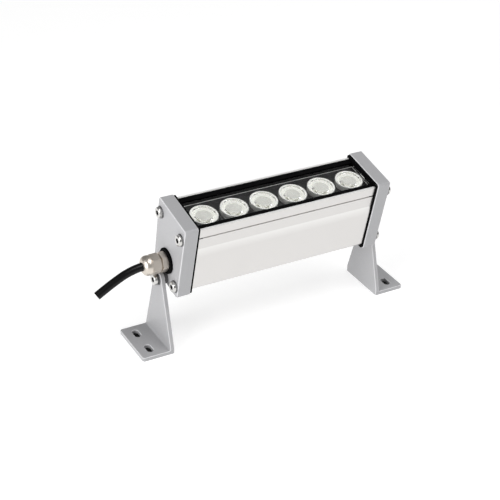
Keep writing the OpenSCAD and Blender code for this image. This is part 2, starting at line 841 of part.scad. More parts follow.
// Cable: one tube swept along its route
function route_way(i) = unit(cable_route[min(i + 1, len(cable_route) - 1)] - cable_route[max(i - 1, 0)]);
function route_side(i) = unit(cross(route_way(i), [0, 1, 0]));
function route_ring(i) = let (up = route_side(i), side = i == 0 ? [0, 0, 1] : up, across = [0, 1, 0])
    [for (k = [0:cable_sides - 1]) let (a = 360 * k / cable_sides)
        cable_exit + cable_route[i] + cable_d / 2 * (cos(a) * across + sin(a) * (i == 0 ? -side : up))];

module cable() {
    rings = len(cable_route);
    points = [for (i = [0:rings - 1]) each route_ring(i)];
    sides = [for (i = [0:rings - 2]) for (k = [0:cable_sides - 1])
        let (a = i * cable_sides + k, b = i * cable_sides + (k + 1) % cable_sides)
        each [[a, b, b + cable_sides], [a, b + cable_sides, a + cable_sides]]];
    first = [for (k = [1:cable_sides - 2]) [0, k + 1, k]];
    base = (rings - 1) * cable_sides;
    last = [for (k = [1:cable_sides - 2]) [base, base + k, base + k + 1]];
    color(cable_black) polyhedron(points, concat(sides, first, last));
}

// Pivots: screw, split washer and flat washer outside the arm, spacer inside it
module at_pivot(is_right) {
    on_head() right_side(is_right) translate([0, 0, pivot_z]) children();
}

pivot_washer_x = -arm_out - fit_gap;
pivot_lock_x = pivot_washer_x - pivot_washer_t;
pivot_head_x = pivot_lock_x - lock_washer_t;

module pivot_spacer(is_right) {
    color(spacer_grey) at_pivot(is_right)
        tube_x(-cap_out - spacer_len, -cap_out, spacer_d / 2, pivot_d / 2 + fit_gap);
}

module pivot_washer(is_right) {
    color(bright_steel) at_pivot(is_right)
        tube_x(pivot_lock_x, pivot_washer_x, pivot_washer_d / 2, pivot_d / 2 + fit_gap);
}

module pivot_lock_washer(is_right) {
    color(bright_steel) at_pivot(is_right) difference() {
        tube_x(pivot_head_x, pivot_lock_x, lock_washer_d / 2, pivot_d / 2 + fit_gap);
        block([pivot_head_x - cut, 0, -split_gap / 2], [pivot_lock_x + cut, lock_washer_d, split_gap / 2]);
    }
}

module pivot_screw(is_right) {
    shank = -pivot_head_x - cap_out + pivot_depth - lay_gap;
    color(bright_steel) at_pivot(is_right)
        socket_screw_x(pivot_head_x, pivot_head_d, pivot_head_h, pivot_socket, pivot_d, shank);
}

bracket(false);  // bracket_left
bracket(true);  // bracket_right
housing();
end_cap(false);  // end_cap_left
end_cap(true);  // end_cap_right
end_gasket(false);  // end_gasket_left
end_gasket(true);  // end_gasket_right
cap_screws(false);  // cap_screws_left
cap_screws(true);  // cap_screws_right
cap_washers(false);  // cap_washers_left
cap_washers(true);  // cap_washers_right
glass_cover();
glass_seals();
glass_beds();
lens_tray();
lens(0);  // lens_1
lens(1);  // lens_2
lens(2);  // lens_3
lens(3);  // lens_4
lens(4);  // lens_5
lens(5);  // lens_6
lens_holder(0);  // lens_holder_1
lens_holder(1);  // lens_holder_2
lens_holder(2);  // lens_holder_3
lens_holder(3);  // lens_holder_4
lens_holder(4);  // lens_holder_5
lens_holder(5);  // lens_holder_6
led(0);  // led_1
led(1);  // led_2
led(2);  // led_3
led(3);  // led_4
led(4);  // led_5
led(5);  // led_6
led_board();
board_screws();
driver_board();
driver_standoffs();
driver_screws();
driver_capacitor();
driver_transformer();
driver_chips();
terminal_block();
led_leads();
cable_cores();
cable_inner();
cable();
gland_ring();
gland_body();
gland_lock_nut();
gland_seal();
gland_nut();
pivot_spacer(false);  // pivot_spacer_left
pivot_spacer(true);  // pivot_spacer_right
pivot_washer(false);  // pivot_washer_left
pivot_washer(true);  // pivot_washer_right
pivot_lock_washer(false);  // pivot_lock_washer_left
pivot_lock_washer(true);  // pivot_lock_washer_right
pivot_screw(false);  // pivot_screw_left
pivot_screw(true);  // pivot_screw_right
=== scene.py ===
import math

import bmesh
import bpy
from mathutils import Matrix, Vector


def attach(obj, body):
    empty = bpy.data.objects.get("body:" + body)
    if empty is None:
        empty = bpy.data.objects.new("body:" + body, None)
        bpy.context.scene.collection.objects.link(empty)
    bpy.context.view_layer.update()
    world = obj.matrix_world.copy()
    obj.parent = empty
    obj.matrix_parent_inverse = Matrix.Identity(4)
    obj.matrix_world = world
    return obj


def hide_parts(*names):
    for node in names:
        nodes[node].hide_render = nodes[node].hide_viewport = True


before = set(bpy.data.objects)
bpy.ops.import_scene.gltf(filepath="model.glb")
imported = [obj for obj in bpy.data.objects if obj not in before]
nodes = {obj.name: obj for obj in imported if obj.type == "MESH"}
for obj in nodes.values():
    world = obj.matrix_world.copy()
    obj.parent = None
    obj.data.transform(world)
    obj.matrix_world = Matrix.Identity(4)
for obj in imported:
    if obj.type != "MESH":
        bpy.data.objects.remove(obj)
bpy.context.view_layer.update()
mm = 0.001
scene = bpy.context.scene
scene.view_settings.view_transform = "Standard"
scene.view_settings.look = "None"
print("stage: frame loaded")

# The head leans forwards about its pivots. Its pieces are drawn upright in mm and placed with toHead.
head = {"standY": 5.4557, "pivotH": 55.5, "pivotZ": 5.2, "lean": 11, "capOut": 87.5, "glandZ": 21}
toWorld = Matrix.Scale(mm, 4)
toHead = (toWorld @ Matrix.Translation((0, head["standY"], head["pivotH"]))
          @ Matrix.Rotation(math.radians(head["lean"]), 4, "X") @ Matrix.Translation((0, 0, -head["pivotZ"])))
outward = Matrix.Rotation(math.radians(-90), 4, "Y")    # turned pieces' +Z becomes -X, out of the left cap

# The photograph's camera, worked out for a square picture of so many pixels. Its place is in mm.
photoView = {"pixels": 500, "focalPixels": 1313.2, "sensorMm": 36, "azimuth": -29.759, "elevation": 30.659,
             "roll": 1.82, "place": (-446.47, -748.13, 574.16)}


def addCamera():
    azimuth, elevation, roll = (math.radians(photoView[key]) for key in ("azimuth", "elevation", "roll"))
    level = Vector((math.cos(azimuth), math.sin(azimuth), 0))
    back = Vector((math.sin(azimuth) * math.cos(elevation), -math.cos(azimuth) * math.cos(elevation),
                   math.sin(elevation)))
    above = back.cross(level)
    right = math.cos(roll) * level + math.sin(roll) * above
    up = math.cos(roll) * above - math.sin(roll) * level
    optics = bpy.data.cameras.new("photoCamera")
    optics.sensor_width = photoView["sensorMm"]
    optics.lens = photoView["focalPixels"] / photoView["pixels"] * photoView["sensorMm"]
    camera = bpy.data.objects.new("photoCamera", optics)
    camera.matrix_world = (Matrix.Translation(Vector(photoView["place"]) * mm)
                           @ Matrix((right, up, back)).transposed().to_4x4())
    scene.collection.objects.link(camera)
    scene.camera = camera


addCamera()


def hexColour(code):
    parts = [int(code[i:i + 2], 16) / 255 for i in (1, 3, 5)]
    return tuple(p / 12.92 if p <= 0.04045 else ((p + 0.055) / 1.055) ** 2.4 for p in parts) + (1,)


def addNode(tree, kind, inputs=None, **settings):
    node = tree.nodes.new(kind)
    for key, value in settings.items():
        setattr(node, key, value)
    for key, value in (inputs or {}).items():
        if isinstance(value, bpy.types.NodeSocket):
            tree.links.new(value, node.inputs[key])
        else:
            node.inputs[key].default_value = value
    return node


def newMaterial(name):
    material = bpy.data.materials.new(name)
    material.use_nodes = True
    material.node_tree.nodes.clear()
    return material, material.node_tree


# Mapping settings that turn a place on the leaning head upright, with zero at a height in mm on the head
def uprightAt(height):
    lean = math.radians(head["lean"])
    back = Matrix.Rotation(-lean, 3, "X") @ Vector((0, -head["standY"] * mm, -head["pivotH"] * mm))
    return {"Location": back + Vector((0, 0, (head["pivotZ"] - height) * mm)), "Rotation": (-lean, 0, 0)}


# Painted, moulded and coated surfaces: two close tones in soft clouds, a fine grain, and a skin that waves
def coatedFinish(name, look):
    material, tree = newMaterial(name)
    place = addNode(tree, "ShaderNodeTexCoord").outputs["Object"]
    clouds = addNode(tree, "ShaderNodeTexNoise", {
        "Vector": place, "Scale": 1 / (look["cloudMm"] * mm), "Detail": 3.0, "Roughness": 0.6})
    grain = addNode(tree, "ShaderNodeTexNoise", {
        "Vector": place, "Scale": 1 / (look["grainMm"] * mm), "Detail": 2.0, "Roughness": 0.7})
    speck = addNode(tree, "ShaderNodeMapRange", {
        "Value": grain.outputs["Fac"], "From Min": 0.35, "From Max": 0.65})
    blend = addNode(tree, "ShaderNodeMath", {0: clouds.outputs["Fac"], 1: speck.outputs["Result"]},
                    operation="MULTIPLY")
    tone = addNode(tree, "ShaderNodeMix", {
        0: blend.outputs[0], 6: hexColour(look["dark"]), 7: hexColour(look["light"])}, data_type="RGBA")
    rough = addNode(tree, "ShaderNodeMapRange", {
        "Value": clouds.outputs["Fac"], "From Min": 0.3, "From Max": 0.7,
        "To Min": look["rough"][0], "To Max": look["rough"][1]})
    bump = addNode(tree, "ShaderNodeBump", {
        "Height": grain.outputs["Fac"], "Strength": look["bump"], "Distance": look["bumpMm"] * mm})
    shader = addNode(tree, "ShaderNodeBsdfPrincipled", {
        "Base Color": tone.outputs[2], "Roughness": rough.outputs["Result"], "IOR": look.get("ior", 1.5),
        "Metallic": look.get("metallic", 0), "Coat Weight": look.get("coat", 0), "Coat Roughness": 0.2,
        "Specular IOR Level": look.get("specular", 0.5), "Emission Color": hexColour(look["light"]),
        "Emission Strength": look.get("glow", 0), "Normal": bump.outputs["Normal"]})
    addNode(tree, "ShaderNodeOutputMaterial", {"Surface": shader.outputs[0]})
    return material


# Bare and plated metals: lines left by the die or the lathe, drawn out along one axis
def metalFinish(name, look):
    material, tree = newMaterial(name)
    place = addNode(tree, "ShaderNodeTexCoord").outputs["Object"]
    drawn = addNode(tree, "ShaderNodeMapping", {"Vector": place, "Scale": look["stretch"]})
    lines = addNode(tree, "ShaderNodeTexNoise", {
        "Vector": drawn.outputs[0], "Scale": 1 / (look["lineMm"] * mm), "Detail": 3.0, "Roughness": 0.65})
    clouds = addNode(tree, "ShaderNodeTexNoise", {
        "Vector": place, "Scale": 1 / (look["cloudMm"] * mm), "Detail": 2.0})
    tone = addNode(tree, "ShaderNodeMix", {
        0: clouds.outputs["Fac"], 6: hexColour(look["dark"]), 7: hexColour(look["light"])}, data_type="RGBA")
    if "bandTop" in look:                                   # a paler stripe fading down the curved shoulder: painted highlight
        upright = addNode(tree, "ShaderNodeMapping", {"Vector": place, **uprightAt(look["bandTop"])})
        height = addNode(tree, "ShaderNodeSeparateXYZ", {0: upright.outputs[0]})
        fade = addNode(tree, "ShaderNodeMapRange", {
            "Value": height.outputs["Z"], "From Min": -look["bandMm"] * mm, "From Max": 0.0})
        below = addNode(tree, "ShaderNodeMath", {0: height.outputs["Z"], 1: 0.0}, operation="LESS_THAN")
        band = addNode(tree, "ShaderNodeMath", {0: fade.outputs["Result"], 1: below.outputs[0]},
                       operation="MULTIPLY")
        tone = addNode(tree, "ShaderNodeMix", {
            0: band.outputs[0], 6: tone.outputs[2], 7: hexColour(look["band"])}, data_type="RGBA")
    both = addNode(tree, "ShaderNodeMath", {0: lines.outputs["Fac"], 1: clouds.outputs["Fac"]},
                   operation="MULTIPLY")
    rough = addNode(tree, "ShaderNodeMapRange", {
        "Value": both.outputs[0], "From Min": 0.12, "From Max": 0.4,
        "To Min": look["rough"][0], "To Max": look["rough"][1]})
    bump = addNode(tree, "ShaderNodeBump", {
        "Height": lines.outputs["Fac"], "Strength": look["bump"], "Distance": look["bumpMm"] * mm})
    shader = addNode(tree, "ShaderNodeBsdfPrincipled", {
        "Base Color": tone.outputs[2], "Roughness": rough.outputs["Result"], "Metallic": 1.0,
        "Normal": bump.outputs["Normal"]})
    addNode(tree, "ShaderNodeOutputMaterial", {"Surface": shader.outputs[0]})
    return material


# Clear glass and acrylic: faint dust in the roughness, a tint that only shows in the depth
def clearFinish(name, look):
    material, tree = newMaterial(name)
    place = addNode(tree, "ShaderNodeTexCoord").outputs["Object"]
    dust = addNode(tree, "ShaderNodeTexNoise", {
        "Vector": place, "Scale": 1 / (look["dustMm"] * mm), "Detail": 4.0, "Roughness": 0.7})
    rough = addNode(tree, "ShaderNodeMapRange", {
        "Value": dust.outputs["Fac"], "From Min": 0.45, "From Max": 0.75,
        "To Min": look["rough"][0], "To Max": look["rough"][1]})
    tone = addNode(tree, "ShaderNodeMix", {
        0: dust.outputs["Fac"], 6: hexColour(look["light"]), 7: hexColour(look["dark"])}, data_type="RGBA")
    bump = addNode(tree, "ShaderNodeBump", {
        "Height": dust.outputs["Fac"], "Strength": look["bump"], "Distance": look["bumpMm"] * mm})
    shader = addNode(tree, "ShaderNodeBsdfPrincipled", {
        "Base Color": tone.outputs[2], "Roughness": rough.outputs["Result"], "IOR": look["ior"],
        "Transmission Weight": 1.0, "Normal": bump.outputs["Normal"]})
    addNode(tree, "ShaderNodeOutputMaterial", {"Surface": shader.outputs[0]})
    return material


# Sprayed polyester powder on die-cast caps and steel plate: satin, faint orange peel about a millimetre wide
castPaint = coatedFinish("silverPowderCoatCast", {
    "light": "#B7B7B9", "dark": "#ADADAF", "cloudMm": 22, "grainMm": 0.9, "rough": (0.40, 0.50),
    "bump": 0.25, "bumpMm": 0.04, "coat": 0.08})
platePaint = coatedFinish("silverPowderCoatPlate", {
    "light": "#B6B6B8", "dark": "#ABABAD", "cloudMm": 18, "grainMm": 0.8, "rough": (0.40, 0.48),
    "bump": 0.22, "bumpMm": 0.04, "coat": 0.08})
# The same powder on the broken edges, smoother and brighter: the paler colour is a painted highlight
edgeHighlightPaint = coatedFinish("silverPowderCoatEdges", {
    "light": "#DEDEE0", "dark": "#D2D2D4", "cloudMm": 12, "grainMm": 0.8, "rough": (0.22, 0.3),
    "bump": 0.1, "bumpMm": 0.02, "coat": 0.2})
# Extruded aluminium, etched and clear anodised: soft sheen with die lines along it. The real lines are 0.1 mm
# apart and are drawn at about 0.4 mm, the finest that a picture of the whole light shows.
# Its paler stripe below the shoulder, fading over 8 mm, is a painted highlight
anodised = metalFinish("clearAnodisedExtrusion", {
    "light": "#DDDBD9", "dark": "#D7D5D3", "stretch": (0.004, 1, 1), "lineMm": 0.4, "cloudMm": 30,
    "rough": (0.30, 0.42), "bump": 0.1, "bumpMm": 0.008, "bandTop": 43.8, "bandMm": 8, "band": "#E9E8E6"})
# Its rims beside the seals were milled and blasted: rougher, so they take light from all round. Their
# near-white colour is a painted highlight.
rimHighlightAluminium = metalFinish("blastedAluminiumRim", {
    "light": "#FDFDFC", "dark": "#F4F4F3", "stretch": (0.05, 1, 1), "lineMm": 0.5, "cloudMm": 12,
    "rough": (0.66, 0.76), "bump": 0.1, "bumpMm": 0.008})
# Moulded and cut rubber: matt black, faintly dusty
rubber = coatedFinish("blackEpdmRubber", {
    "light": "#08080A", "dark": "#030304", "cloudMm": 9, "grainMm": 0.35, "rough": (0.7, 0.85),
    "bump": 0.2, "bumpMm": 0.02, "specular": 0.06})
# Stainless screws, turned and barrel polished: bright, with fine tumbling marks
steel = metalFinish("polishedStainlessScrews", {
    "light": "#DCDBD8", "dark": "#CBCAC8", "stretch": (1, 1, 1), "lineMm": 0.4, "cloudMm": 3,
    "rough": (0.16, 0.26), "bump": 0.06, "bumpMm": 0.004})
# Their broached sockets stay unpolished and hold dark grease; their near-black colour is also painted shade
socketShade = coatedFinish("greasedSocketSteel", {
    "light": "#232324", "dark": "#141415", "cloudMm": 1.5, "grainMm": 0.4, "rough": (0.4, 0.55),
    "bump": 0.2, "bumpMm": 0.02, "metallic": 0.4})
# Rolled and punched stainless washers: duller than the screws
washerSteel = metalFinish("punchedStainlessWashers", {
    "light": "#8E8E8E", "dark": "#6A6A6B", "stretch": (1, 1, 1), "lineMm": 0.6, "cloudMm": 3,
    "rough": (0.34, 0.5), "bump": 0.25, "bumpMm": 0.015})
# Low iron float glass, polished edges
glass = clearFinish("clearFloatGlass", {
    "light": "#FFFFFF", "dark": "#FBFCFB", "dustMm": 14, "rough": (0.0, 0.02), "bump": 0.02, "bumpMm": 0.01,
    "ior": 1.52})
# Pressed sheet with a dark satin coat
traySheet = coatedFinish("darkCoatedTraySheet", {
    "light": "#313132", "dark": "#2A2A2C", "cloudMm": 14, "grainMm": 0.5, "rough": (0.4, 0.48),
    "bump": 0.06, "bumpMm": 0.01})
# Its sheared top edge is bare metal. The glow stands for the light that it catches from the lenses.
sheetEdge = coatedFinish("shearedSheetEdge", {
    "light": "#E4E4E2", "dark": "#CFCFCD", "cloudMm": 6, "grainMm": 0.4, "rough": (0.3, 0.4),
    "bump": 0.1, "bumpMm": 0.01, "metallic": 0.5, "glow": 0.3})
# Moulded acrylic collimators: a clear polished cone that shows the white holder behind it
lensAcrylic = clearFinish("clearAcrylicCone", {
    "light": "#FFFFFE", "dark": "#FAFBFA", "dustMm": 3, "rough": (0.01, 0.05), "bump": 0.05, "bumpMm": 0.01,
    "ior": 1.49})
# The well in each front is moulded with dimples that scatter the light, so it reads pale grey. Its glow is
# painted light, for the light that the lens gathers.
glowingLensWell = coatedFinish("dimpledAcrylicWell", {
    "light": "#EDEDE8", "dark": "#CFCFC9", "cloudMm": 4, "grainMm": 0.9, "rough": (0.12, 0.22),
    "bump": 0.5, "bumpMm": 0.1, "ior": 1.49, "glow": 0.39})
# Moulded white polycarbonate lens holders: smooth, slightly glossy
holderWhite = coatedFinish("whitePolycarbonate", {
    "light": "#F6F6F3", "dark": "#EFEFEB", "cloudMm": 6, "grainMm": 0.5, "rough": (0.26, 0.36),
    "bump": 0.08, "bumpMm": 0.02, "ior": 1.58})
# Inside, a faint glow stands for the light that the lens gathers from all round and throws on the wall
holderInside = coatedFinish("whitePolycarbonateInside", {
    "light": "#F8F8F5", "dark": "#ECECE8", "cloudMm": 5, "grainMm": 0.5, "rough": (0.26, 0.36),
    "bump": 0.08, "bumpMm": 0.02, "ior": 1.58, "glow": 0.47})
# Silicone over pale phosphor: an even, slightly glossy cream
ledResin = coatedFinish("palePhosphorResin", {
    "light": "#DAD8CE", "dark": "#B9B6AA", "cloudMm": 1.5, "grainMm": 0.2, "rough": (0.2, 0.3),
    "bump": 0.1, "bumpMm": 0.02})
# Circuit boards: printed solder mask, its sheen broken by the copper and the weave under it
whiteBoard = coatedFinish("whiteSolderMask", {
    "light": "#F0F0EA", "dark": "#DCDCD4", "cloudMm": 4, "grainMm": 0.5, "rough": (0.3, 0.42),
    "bump": 0.2, "bumpMm": 0.03})
greenBoard = coatedFinish("greenSolderMask", {
    "light": "#2F7A4C", "dark": "#1E5A38", "cloudMm": 3, "grainMm": 0.5, "rough": (0.25, 0.4),
    "bump": 0.25, "bumpMm": 0.03})
# Moulded epoxy and shrink sleeve on components: matt, with a fine pitted skin
darkEpoxy = coatedFinish("moldedDarkEpoxy", {
    "light": "#343436", "dark": "#1E1E20", "cloudMm": 3, "grainMm": 0.25, "rough": (0.5, 0.65),
    "bump": 0.35, "bumpMm": 0.03})
# Polyester tape wound round the transformer: yellow, with a slight gloss
windingTape = coatedFinish("yellowWindingTape", {
    "light": "#EBCB50", "dark": "#D2A92C", "cloudMm": 5, "grainMm": 0.6, "rough": (0.3, 0.45),
    "bump": 0.25, "bumpMm": 0.04})
# Moulded polyamide terminals: even green, half matt
greenPolyamide = coatedFinish("greenTerminalPolyamide", {
    "light": "#3E8F55", "dark": "#2E7442", "cloudMm": 4, "grainMm": 0.3, "rough": (0.42, 0.55),
    "bump": 0.25, "bumpMm": 0.03})
# Silicone wire insulation: soft and matt
wireRed = coatedFinish("redSiliconeInsulation", {
    "light": "#B8402F", "dark": "#9A3024", "cloudMm": 4, "grainMm": 0.4, "rough": (0.45, 0.6),
    "bump": 0.2, "bumpMm": 0.02})
# Extruded cable jacket: black, with a satin sheen along its upper side
jacket = coatedFinish("blackCableJacket", {
    "light": "#0C0C0D", "dark": "#050506", "cloudMm": 5, "grainMm": 0.45, "rough": (0.28, 0.36),
    "bump": 0.15, "bumpMm": 0.02, "specular": 0.25})
# Nickel-plated brass gland: warm white metal, turned
nickel = metalFinish("nickelPlatedBrass", {
    "light": "#E2DAD0", "dark": "#D7CFC5", "stretch": (1, 1, 1), "lineMm": 0.5, "cloudMm": 9,
    "rough": (0.36, 0.42), "bump": 0.01, "bumpMm": 0.001})
# Turned nylon spacers: grey, half matt
spacerNylon = coatedFinish("greyNylonSpacer", {
    "light": "#6A696B", "dark": "#565557", "cloudMm": 3, "grainMm": 0.4, "rough": (0.45, 0.6),
    "bump": 0.25, "bumpMm": 0.03})
# Stranded copper at the cable's cut end: bright, and rough from the cutter
copper = metalFinish("cutCopperStrands", {
    "light": "#C77B52", "dark": "#9A5636", "stretch": (1, 1, 1), "lineMm": 0.2, "cloudMm": 0.4,
    "rough": (0.25, 0.45), "bump": 0.4, "bumpMm": 0.03})
print("stage: materials made")


def newPiece(name, mesh):
    piece = bpy.data.objects.new(name, mesh)
    scene.collection.objects.link(piece)
    return piece


# The plain mesh that a piece's modifiers make of it
def bakePiece(piece, name):
    mesh = bpy.data.meshes.new_from_object(piece.evaluated_get(bpy.context.evaluated_depsgraph_get()))
    bpy.data.objects.remove(piece)
    mesh.name = name
    return mesh


# Sets materials slot by slot, so that the faces keep their slot numbers
def givePiece(name, mesh, body, replaced, materials=(), smoothDeg=35):
    mesh.name = name
    for i, material in enumerate(materials):
        if i < len(mesh.materials):
            mesh.materials[i] = material
        else:
            mesh.materials.append(material)
    if smoothDeg:
        mesh.shade_smooth()
        mesh.set_sharp_from_angle(angle=math.radians(smoothDeg))
    piece = newPiece(name, mesh)
    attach(piece, body)
    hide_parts(*replaced)
    return piece


# Points closer than weldMm become one, and faces within flatDeg of each other one face
cadCopy = {"weldMm": 0.002, "flatDeg": 1.5}


# A copy of a CAD node with its triangles merged into faces, and its edges broken as paint and tumbling leave
# them. The broken edges take the material in edgeSlot.
def brokenEdges(node, width, segments=3, limitDeg=40, edgeSlot=0, clamp=True):
    mesh = nodes[node].data.copy()
    shape = bmesh.new()
    shape.from_mesh(mesh)
    bmesh.ops.remove_doubles(shape, verts=shape.verts, dist=cadCopy["weldMm"] * mm)
    bmesh.ops.dissolve_degenerate(shape, edges=shape.edges, dist=cadCopy["weldMm"] * mm)
    bmesh.ops.dissolve_limit(shape, angle_limit=math.radians(cadCopy["flatDeg"]), verts=shape.verts,
                             edges=shape.edges)
    shape.to_mesh(mesh)
    shape.free()
    mesh.materials.clear()
    for slotNumber in range(edgeSlot + 1):
        mesh.materials.append(None)
    mesh.shade_smooth()
    piece = newPiece(node + "Copy", mesh)
    bevel = piece.modifiers.new("edge", "BEVEL")
    bevel.width = width * mm
    bevel.segments = segments
    bevel.limit_method = "ANGLE"
    bevel.angle_limit = math.radians(limitDeg)
    bevel.use_clamp_overlap = clamp
    bevel.material = edgeSlot
    piece.modifiers.new("flatFaces", "WEIGHTED_NORMAL").weight = 100
    return bakePiece(piece, node)


# Gives the second material to the faces above a height in mm on the head, and the first to the others
def markAbove(mesh, height):
    upright = toHead.inverted()
    for face in mesh.polygons:
        face.material_index = int((upright @ face.center).z > height)
    return mesh


# Marks the faces that have a finish of their own, with the attribute that the trees read and the second slot
def markInner(mesh, isInner):
    inner = [isInner(face) for face in mesh.polygons]
    mesh.attributes.new("inner", "BOOLEAN", "FACE").data.foreach_set("value", inner)
    mesh.polygons.foreach_set("material_index", [int(marked) for marked in inner])
    return mesh


# Turned and hexagonal pieces about Z: each ring is (height, radius, flats, slope). Flats cut the circle to a
# hexagon, and slope moves its corners along the axis, as where a cone turns them off.
def turned(rings, closed=False, around=48):
    shape = bmesh.new()
    loops = []
    for ring in rings:
        height, radius, flats, slope = (tuple(ring) + (0, 0))[:4]
        loop = []
        for i in range(around):
            angle = 2 * math.pi * i / around
            reach = radius
            if flats:
                side = (angle + math.pi / 6) % (math.pi / 3) - math.pi / 6
                reach = min(radius, flats / 2 / math.cos(side))
            z = height + slope * (reach - flats / 2)
            loop.append(shape.verts.new((reach * math.cos(angle), reach * math.sin(angle), z)))
        loops.append(loop)
    if closed:
        loops.append(loops[0])
    for low, high in zip(loops, loops[1:]):
        for i in range(around):
            j = (i + 1) % around
            shape.faces.new((low[i], low[j], high[j], high[i]))
    if not closed:
        shape.faces.new(list(reversed(loops[0])))
        shape.faces.new(loops[-1])
    bmesh.ops.recalc_face_normals(shape, faces=shape.faces)
    mesh = bpy.data.meshes.new("turned")
    shape.to_mesh(mesh)
    shape.free()
    return mesh


# Rings of a turned piece along an arc whose centre is at (height, radius)
def arc(height, radius, bend, fromDeg, toDeg, steps):
    angles = [math.radians(fromDeg + (toDeg - fromDeg) * i / steps) for i in range(steps + 1)]
    return [(height + bend * math.sin(angle), radius + bend * math.cos(angle)) for angle in angles]


def addInput(tree, name, kind, default=None):
    socket = tree.interface.new_socket(name=name, in_out="INPUT", socket_type=kind)
    if default is not None:
        socket.default_value = default
    return socket.identifier


# How each tree ends: real copies, one finish, and another on the faces marked "inner"
def addEnding(tree, copies, given):
    real = addNode(tree, "GeometryNodeRealizeInstances", {"Geometry": copies.outputs[0]})
    outer = addNode(tree, "GeometryNodeSetMaterial", {
        "Geometry": real.outputs[0], "Material": given["Finish"]})
    marked = addNode(tree, "GeometryNodeInputNamedAttribute", {"Name": "inner"}, data_type="BOOLEAN")
    inner = addNode(tree, "GeometryNodeSetMaterial", {
        "Geometry": outer.outputs[0], "Material": given["Inner"], "Selection": marked.outputs["Attribute"]})
    addNode(tree, "NodeGroupOutput", {0: inner.outputs[0]})


# Puts one piece at every vertex of a mesh, spun by a seeded random angle about its own axis, X
def screwTree():
    tree = bpy.data.node_groups.new("screwsAtPlaces", "GeometryNodeTree")
    tree.interface.new_socket(name="Places", in_out="INPUT", socket_type="NodeSocketGeometry")
    inputs = {"Piece": addInput(tree, "Piece", "NodeSocketObject"),
              "Facing": addInput(tree, "Facing", "NodeSocketFloat", 0.0),
              "Seed": addInput(tree, "Seed", "NodeSocketInt", 3),
              "Finish": addInput(tree, "Finish", "NodeSocketMaterial"),
              "Inner": addInput(tree, "Inner", "NodeSocketMaterial")}
    tree.interface.new_socket(name="Screws", in_out="OUTPUT", socket_type="NodeSocketGeometry")
    given = addNode(tree, "NodeGroupInput").outputs
    piece = addNode(tree, "GeometryNodeObjectInfo", {"Object": given["Piece"]}, transform_space="ORIGINAL")
    spin = addNode(tree, "FunctionNodeRandomValue", {2: 0.0, 3: 6.283, "Seed": given["Seed"]},
                   data_type="FLOAT")                       # up to a full turn, in radians
    turn = addNode(tree, "ShaderNodeCombineXYZ", {"X": spin.outputs[1], "Z": given["Facing"]})
    copies = addNode(tree, "GeometryNodeInstanceOnPoints", {
        "Points": given["Places"], "Instance": piece.outputs["Geometry"], "Rotation": turn.outputs[0]})
    addEnding(tree, copies, given)
    return tree, inputs


# Repeats one piece along X at a pitch. A modifier hands its mesh to the first input, and the row needs none.
def rowTree():
    tree = bpy.data.node_groups.new("rowAlongLamp", "GeometryNodeTree")
    tree.interface.new_socket(name="Unused", in_out="INPUT", socket_type="NodeSocketGeometry")
    inputs = {"Piece": addInput(tree, "Piece", "NodeSocketObject"),
              "Count": addInput(tree, "Count", "NodeSocketInt", 6),
              "Pitch": addInput(tree, "Pitch", "NodeSocketFloat", 25.0),
              "Start": addInput(tree, "Start", "NodeSocketVector"),
              "Finish": addInput(tree, "Finish", "NodeSocketMaterial"),
              "Inner": addInput(tree, "Inner", "NodeSocketMaterial")}
    tree.interface.new_socket(name="Row", in_out="OUTPUT", socket_type="NodeSocketGeometry")
    given = addNode(tree, "NodeGroupInput").outputs
    step = addNode(tree, "ShaderNodeCombineXYZ", {"X": given["Pitch"]})
    line = addNode(tree, "GeometryNodeMeshLine", {
        "Count": given["Count"], "Start Location": given["Start"], "Offset": step.outputs[0]}, mode="OFFSET")
    piece = addNode(tree, "GeometryNodeObjectInfo", {"Object": given["Piece"]}, transform_space="ORIGINAL")
    copies = addNode(tree, "GeometryNodeInstanceOnPoints", {
        "Points": line.outputs[0], "Instance": piece.outputs["Geometry"]})
    addEnding(tree, copies, given)
    return tree, inputs


# Runs a tree on a mesh with its inputs set by their identifiers, and returns the plain mesh that it makes
def grow(tree, inputs, base, name, **values):
    carrier = newPiece(name + "Carrier", base)
    modifier = carrier.modifiers.new("grow", "NODES")
    modifier.node_group = tree
    for key, value in values.items():
        modifier[inputs[key]] = value
    return bakePiece(carrier, name)


def pointsMesh(places):
    mesh = bpy.data.meshes.new("places")
    mesh.from_pydata([tuple(place) for place in places], [], [])
    return mesh


screwsAtPlaces, screwInputs = screwTree()
rowAlongLamp, rowInputs = rowTree()

# Brackets, caps, gaskets, housing, seals, glass and tray: how wide their edges are broken, in mm, and the
# height on the head above which the housing and the tray have their second finish
edges = {"bracket": 0.45, "cap": 0.6, "gasket": 0.25, "housing": 0.22, "seals": 0.25, "glass": 0.3,
         "tray": 0.12}
finishFrom = {"housing": 61.6, "tray": 55.9}

for side in ("left", "right"):
    # The brackets' and caps' broken edges take the paler paint, a painted highlight
    bracket = brokenEdges("bracket_" + side, edges["bracket"], edgeSlot=1, clamp=False)
    givePiece("bracket" + side.title(), bracket, side + "_stand", ["bracket_" + side],
              [platePaint, edgeHighlightPaint], smoothDeg=0)
    cap = brokenEdges("end_cap_" + side, edges["cap"], edgeSlot=1, clamp=False)
    givePiece("endCap" + side.title(), cap, "head", ["end_cap_" + side],
              [castPaint, edgeHighlightPaint], smoothDeg=0)
    gasket = brokenEdges("end_gasket_" + side, edges["gasket"], segments=2)
    givePiece("endGasket" + side.title(), gasket, "head", ["end_gasket_" + side],
              [rubber], smoothDeg=0)

